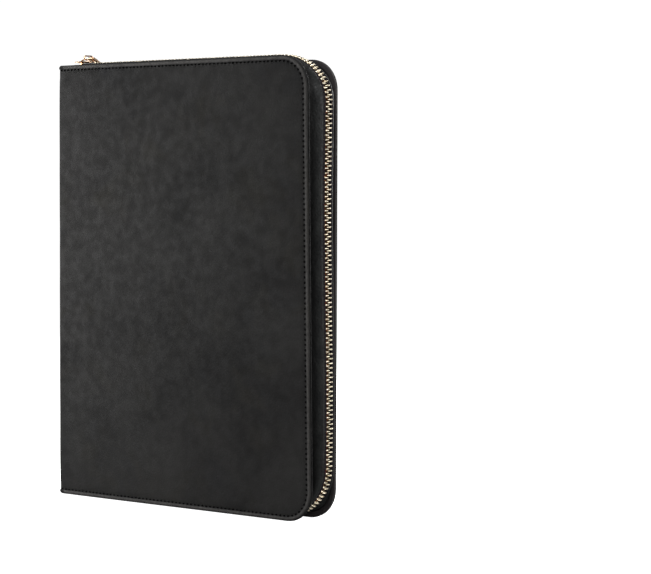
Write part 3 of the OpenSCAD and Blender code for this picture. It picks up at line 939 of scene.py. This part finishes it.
slip_gape, card_gape, SLOT_GAPE = gaping(slip_low[0], 0.9, 7), gaping(card_low[0], 1.7, 7), 1.25
pocket("slip_pocket_sheet", "slip_pocket", slip_gape, POCKET_R)
pocket("card_panel_sheet", "card_panel", card_gape, POCKET_R)
for k in range(4):
    node = f"card_strip_{k + 1}"
    pocket(f"card_slot_{k + 1}", node, slot_mouth(box_mm(node)[1][2], SLOT_GAPE), 0.6)


def id_pocket_sheet():
    """The lowest pocket: a frame of four rounded sides round the window, with the lining's corner cut off."""
    low, high = box_mm("id_pocket")
    film = 2.0
    hole = (window_low[0] + film, window_high[0] - film, window_low[2] + film, window_high[2] - film)
    depth, lift = depth_of(low), slot_mouth(high[2], SLOT_GAPE)
    corners = 40

    def around(inset):
        """Border of the pocket and of its hole, at matching angles."""
        x0, x1 = low[0] + inset, high[0] - EDGE_GAP - inset
        z0, z1 = max(low[2], POCKET_FOOT) + inset, high[2] - inset
        cx, cz = (hole[0] + hole[1]) / 2, (hole[2] + hole[3]) / 2
        outer, inner = [], []
        for k in range(4 * corners):
            a = 2 * math.pi * (k + 0.5) / (4 * corners)
            dx, dz = math.cos(a), math.sin(a)
            reach = min(((x1 if dx > 0 else x0) - cx) / dx, ((z1 if dz > 0 else z0) - cz) / dz)
            x, z = cx + dx * reach, cz + dz * reach
            round_x, round_z = x1 - POCKET_R + inset, z0 + POCKET_R - inset
            if x > round_x and z < round_z:
                away = np.array([x - round_x, z - round_z])
                x, z = np.array([round_x, round_z]) + away / np.linalg.norm(away) * (POCKET_R - inset)
            outer.append((x, z))
            power = 9
            wide, tall = (hole[1] - hole[0]) / 2 + inset, (hole[3] - hole[2]) / 2 + inset
            size = (abs(dx / wide) ** power + abs(dz / tall) ** power) ** (-1 / power)
            inner.append((cx + dx * size, cz + dz * size))
        return np.array(outer), np.array(inner)

    def ring(share, inset, inward):
        outer, inner = around(inset)
        flat = inner + (outer - inner) * share
        return at_depth(flat, depth + inward + lift(flat[:, 0], flat[:, 1]), FRONT)

    edge = 0.22
    shares = np.linspace(0, 1, 9)
    top = [ring(s, edge, SHEET_T) for s in shares]
    foot = [ring(s, edge, 0) for s in shares[::-1]]
    rings = top + [ring(1, 0, SHEET_T / 2)] + foot + [ring(0, 0, SHEET_T / 2)]
    rings = [np.concatenate([r, r[:1]]) for r in rings]
    points, faces = loft(rings, caps=False)
    piece = mesh_piece("id_pocket_sheet", points, faces, TAN, "lining_leather")
    weld = piece.modifiers.new("weld", "WELD")
    weld.merge_threshold = 0.01 * MM
    return piece


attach(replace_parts(id_pocket_sheet(), "id_pocket"), "front_cover")


def film_lift(x, z):
    return 0.30 + 0.10 * undulation(x, z, 18, 2)


film_area = (window_low[0], window_high[0], window_low[2], window_high[2], 2.0, 2.0)
film = sheet("id_window_film", FRONT, film_area, depth_of(window_low), 0.22, film_lift, FILM,
             "window_film", 0.08)
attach(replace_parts(film, "id_window"), "front_cover")


def inside_seam(name, places, side, body):
    """Tan stitches on the lining side of a cover; places are (x, z, depth)."""
    places = np.array(places, float)
    line = at_depth(places[:, :2], places[:, 2], side)
    up = np.repeat([[0.0, -side, 0.0]], len(line), axis=0)
    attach(stitches(name, line, up, 2.6, 1.9, 0.2, TAN_THREAD, "lining_leather"), body)


def pocket_seam(name, low, lift, inset):
    """The row of stitches beside a pocket's mouth."""
    z = np.linspace(POCKET_FOOT + 1.5, POCKET_HEAD - 1.5, 90)
    x = np.full(len(z), low[0] + inset)
    places = np.column_stack([x, z, depth_of(low) + SHEET_T + lift(x, z)])
    inside_seam(name, places, FRONT, "front_cover")


pocket_seam("card_panel_seam", card_low, card_gape, 4.6)
pocket_seam("slip_pocket_seam", slip_low, slip_gape, 1.6)


def lining_seams():
    for label, side, body, seed in COVERS:
        x0, x1, z0, z1, r, r0 = lining_area
        inset = 1.3
        flat = panel(x0 + inset, x1 - inset, z0 + inset, z1 - inset, r - inset, r0 - inset)
        border = np.concatenate([rim(flat), flat[0, 1:]])
        lift = lining_lift(side)(border[:, 0], border[:, 1])
        places = np.column_stack([border, LINING_D + SHEET_T + lift])
        if side == FRONT:
            places[:, 2] += np.clip((places[:, 0] - slip_low[0]) / 2, 0, 1) * 0.6
            places[:, 2] += np.clip((places[:, 0] - card_low[0]) / 2, 0, 1) * 0.5
        inside_seam(f"{label}_lining_seam", places, side, body)


lining_seams()


# ---------- pen loop, spine lining, webs and boards ----------

def band_along(path, profile):
    """A strap along a path in X and Y; profile lists (z, offset from the path) round its section."""
    path = np.asarray(path, float)
    ahead = np.gradient(path, axis=0)
    ahead /= np.linalg.norm(ahead, axis=1, keepdims=True)
    normal = np.stack([ahead[:, 1], -ahead[:, 0]], axis=-1)
    rings = []
    for z, offset in profile:
        flat = path + normal * offset
        rings.append(np.column_stack([flat, np.full(len(flat), z)]))
    return loft(rings)


def pen_loop_band():
    """A leather band folded round on itself, a little flattened by use, with both tails sewn down."""
    thick, radius = 0.62, 5.5
    (low_x, _, z0), (high_x, base_y, z1) = box_mm("pen_loop")
    outer_y, inner_y = base_y - 0.42, base_y - 1.12
    centre = np.array([low_x + 5.9, base_y - 5.9])
    tail_x = high_x - 0.4
    outer_tail = [(x, outer_y) for x in np.linspace(tail_x, centre[0] + 0.8, 12)]
    turn = np.radians(np.linspace(90, 380, 44))
    squash = 1 - 0.04 * np.sin(turn) ** 2
    circle = [(centre[0] + radius * math.cos(a), centre[1] + radius * math.sin(a) * q)
              for a, q in zip(turn, squash)]
    meet_x = centre[0] + 8.5
    start, end = np.array(circle[-1]), np.array([meet_x, inner_y])
    lead = np.array([start[0] - 0.2, end[1] + 0.2])
    curve = [(1 - t) ** 2 * start + 2 * t * (1 - t) * lead + t * t * end for t in np.linspace(0, 1, 9)[1:]]
    inner_tail = [(x, inner_y) for x in np.linspace(meet_x, tail_x, 8)[1:]]
    path = outer_tail + circle + [tuple(c) for c in curve] + inner_tail
    half, soft = thick / 2, 0.22
    outer = [(z0 + soft * 0.3, half * 0.75), (z0 + soft, half)]
    outer += [(z0 + (z1 - z0) * t, half) for t in (0.2, 0.4, 0.6, 0.8)]
    outer += [(z1 - soft, half), (z1 - soft * 0.3, half * 0.75)]
    profile = [(z0, 0)] + outer + [(z1, 0)] + [(z, -offset) for z, offset in outer[::-1]]
    piece = mesh_piece("pen_loop_band", *band_along(path, profile), TAN, "lining_leather")
    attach(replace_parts(piece, "pen_loop"), "back_cover")
    seam_x = tail_x - 2.2
    places = [(seam_x, z, HALF_T - (inner_y - half)) for z in np.linspace(z0 + 1, z1 - 1, 20)]
    inside_seam("pen_loop_seam", places, BACK, "back_cover")


def spine_lining():
    """The lining between the covers rises into a shallow fold along both of its edges."""
    low, high = box_mm("spine_lining")
    under_covers = 1.8
    across = np.linspace(low[1] - under_covers, high[1] + under_covers, 19)
    up = np.linspace(low[2], high[2], 90)
    y, z = np.meshgrid(across, up, indexing="ij")
    share = np.abs(y) / across[-1]
    x = high[0] - 0.08 + 0.10 * undulation(y, z, 11, 7.0) * share + 0.30 * share ** 6
    points = np.stack([x, y, z], axis=-1).reshape(-1, 3)
    piece = mesh_piece("spine_lining_sheet", points, grid_faces(*x.shape), TAN, "lining_leather")
    solidify(piece, high[0] - low[0])
    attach(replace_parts(piece, "spine_lining"), "spine")


def spine_turn_in(name, up):
    """The outer leather is turned in over the end of the spine's board, down to the lining."""
    low, high = box_mm("spine_board")
    end = high[2] if up > 0 else -low[2]
    section = [(low[0] - 0.1, -4.0), (low[0] - 0.1, 0.1), (low[0] + 0.15, 0.38), (high[0] - 0.1, 0.42),
               (high[0] + 0.3, 0.30), (high[0] + 0.55, 0.05), (high[0] + 0.65, -0.5)]
    across = np.linspace(low[1] - 0.2, high[1] + 0.2, 31)
    rings = []
    for x, z in section:
        ragged = 0.05 * undulation(across, across * 0 + z, 5, 3.0 + up)
        rings.append(np.column_stack([across * 0 + x, across, up * (end + z + ragged)]))
    points, faces = loft(rings, closed_profile=False, flip=up < 0)
    piece = mesh_piece(name, points, faces, EDGE, "edge_leather")
    solidify(piece, 0.18, 0)
    return piece


def end_web(name, node, up):
    """A little gusset of black leather, folded in between the ends of the two walls."""
    low, high = box_mm(node)
    middle = (low[2] + high[2]) / 2
    y, reach = np.meshgrid(np.linspace(low[1], high[1], 25), np.linspace(0, 1, 9), indexing="ij")
    share = np.abs(y) / high[1]
    length, notch = high[0] - low[0] + 2.4, 0.42
    x = low[0] + length * reach * (notch + (1 - notch) * share ** 1.5)
    z = middle + up * (2.6 * share ** 1.4 - 1.4 * reach * (1 - share) + 0.25 * np.sin(y * 1.7) * reach)
    points = np.stack([x, y, z], axis=-1).reshape(-1, 3)
    piece = mesh_piece(name, points, grid_faces(*x.shape), WALL, "edge_leather")
    solidify(piece, 0.8, 0)
    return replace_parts(piece, node)


# How far in from a cover's edge its board stops
BOARD_TUCK = 4.6


def cover_board(label, side, body):
    node = f"{label}_board"
    low, high = box_mm(node)
    depth = HALF_T + low[1] if side == FRONT else HALF_T - high[1]
    area = (low[0], CASE_W - BOARD_TUCK, BOARD_TUCK, CASE_H - BOARD_TUCK, CORNER_R - BOARD_TUCK, 0.6)
    piece = sheet(f"{label}_board_sheet", side, area, depth, high[1] - low[1], lambda x, z: 0, BOARD,
                  "stiffener", 0.15)
    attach(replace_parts(piece, node), body)


pen_loop_band()
spine_lining()
for end, up in (("top", 1), ("bottom", -1)):
    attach(spine_turn_in(f"{end}_spine_turn_in", up), "spine")
for end, up in (("top", 1), ("bottom", -1)):
    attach(end_web(f"{end}_web_fold", f"{end}_end_web", up), "spine")
for label, side, body, seed in COVERS:
    cover_board(label, side, body)


# ---------- CAD nodes that keep their shape ----------

def finish_node(node, material, width=0.0):
    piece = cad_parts[node]
    piece.data.materials.clear()
    piece.data.materials.append(material)
    if width:
        bevel(piece, width)


for node in ("ring_housing", "ring_rivets", "trigger_pins", "front_ring_leaf", "front_half_rings",
             "back_ring_leaf", "back_half_rings"):
    finish_node(node, STEEL)
for node in ("top_trigger", "bottom_trigger"):
    finish_node(node, STEEL, 0.15)
finish_node("pull_tab", WARM_GOLD, 0.22)
finish_node("pull_link", WARM_GOLD)
finish_node("spine_board", BOARD)


# ---------- floor, light and camera ----------

def floor():
    """A wide pale floor that the case's lowest place touches."""
    size, clear = 6000.0, 0.1
    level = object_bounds()[0][2] / MM - clear
    grid = [(x, y, level) for x in (-size, size) for y in (-size, size)]
    piece = mesh_piece("floor", np.array(grid), [(0, 2, 3, 1)], pale_floor(), "floor")
    piece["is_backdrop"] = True


MIDDLE = (0.09, 0, 0.13)
# Name, place, where it points (metres), width, height and power
LIGHTS = [
    ("key", (-0.33, -0.23, 0.17), (0.05, 0, 0.14), 0.16, 0.44, 2.4),
    ("low_fill", (-0.25, -0.45, 0.06), (0.08, 0, 0.08), 0.25, 0.25, 0.55),
    ("fore_edge", (0.95, 0.06, 0.36), MIDDLE, 0.46, 0.46, 9.3),
    ("top", (0.0, -0.30, 1.1), MIDDLE, 0.5, 0.5, 7),
    ("back_fill", (0.05, 0.95, 0.45), MIDDLE, 0.6, 0.6, 9),
]


def area_light(name, place, target, width, height, power):
    lamp = bpy.data.lights.new(name, "AREA")
    lamp.shape, lamp.size, lamp.size_y, lamp.energy = "ELLIPSE", width, height, power
    light = bpy.data.objects.new(name, lamp)
    light.location = place
    light.rotation_euler = (Vector(target) - Vector(place)).to_track_quat("-Z", "Y").to_euler()
    bpy.context.scene.collection.objects.link(light)


def studio():
    world = bpy.data.worlds.new("white_studio")
    world.use_nodes = True
    bpy.context.scene.world = world
    tree = world.node_tree
    back = tree.nodes["Background"]
    back.inputs["Color"].default_value = (1, 1, 1, 1)
    rays = tree.nodes.new("ShaderNodeLightPath")
    share = tree.nodes.new("ShaderNodeMapRange")
    tree.links.new(rays.outputs["Is Camera Ray"], share.inputs["Value"])
    ambient, backdrop = 0.14, 1.05
    share.inputs["To Min"].default_value, share.inputs["To Max"].default_value = ambient, backdrop
    tree.links.new(share.outputs["Result"], back.inputs["Strength"])
    for light in LIGHTS:
        area_light(*light)
    bpy.context.scene.view_settings.view_transform = "Standard"


def camera():
    """Looks at the case from in front and to the right of its fore-edge, just above its middle."""
    azimuth, elevation, roll = (math.radians(angle) for angle in (38.40, 2.64, 0.21))
    distance = 1.1544
    target = Vector((CASE_W * 1.0607 * MM, -HALF_T * MM, CASE_H * 0.5094 * MM))
    back = Vector((math.sin(azimuth) * math.cos(elevation), -math.cos(azimuth) * math.cos(elevation),
                   math.sin(elevation)))
    lens = bpy.data.cameras.new("camera")
    lens.sensor_width, lens.lens = 36, 120.0
    lens.clip_start, lens.clip_end = 0.01, 50
    view = bpy.data.objects.new("camera", lens)
    view.location = target + back * distance
    view.rotation_mode = "QUATERNION"
    view.rotation_quaternion = Quaternion(back, roll) @ (-back).to_track_quat("-Z", "Y")
    bpy.context.scene.collection.objects.link(view)
    bpy.context.scene.camera = view


floor()
studio()
camera()
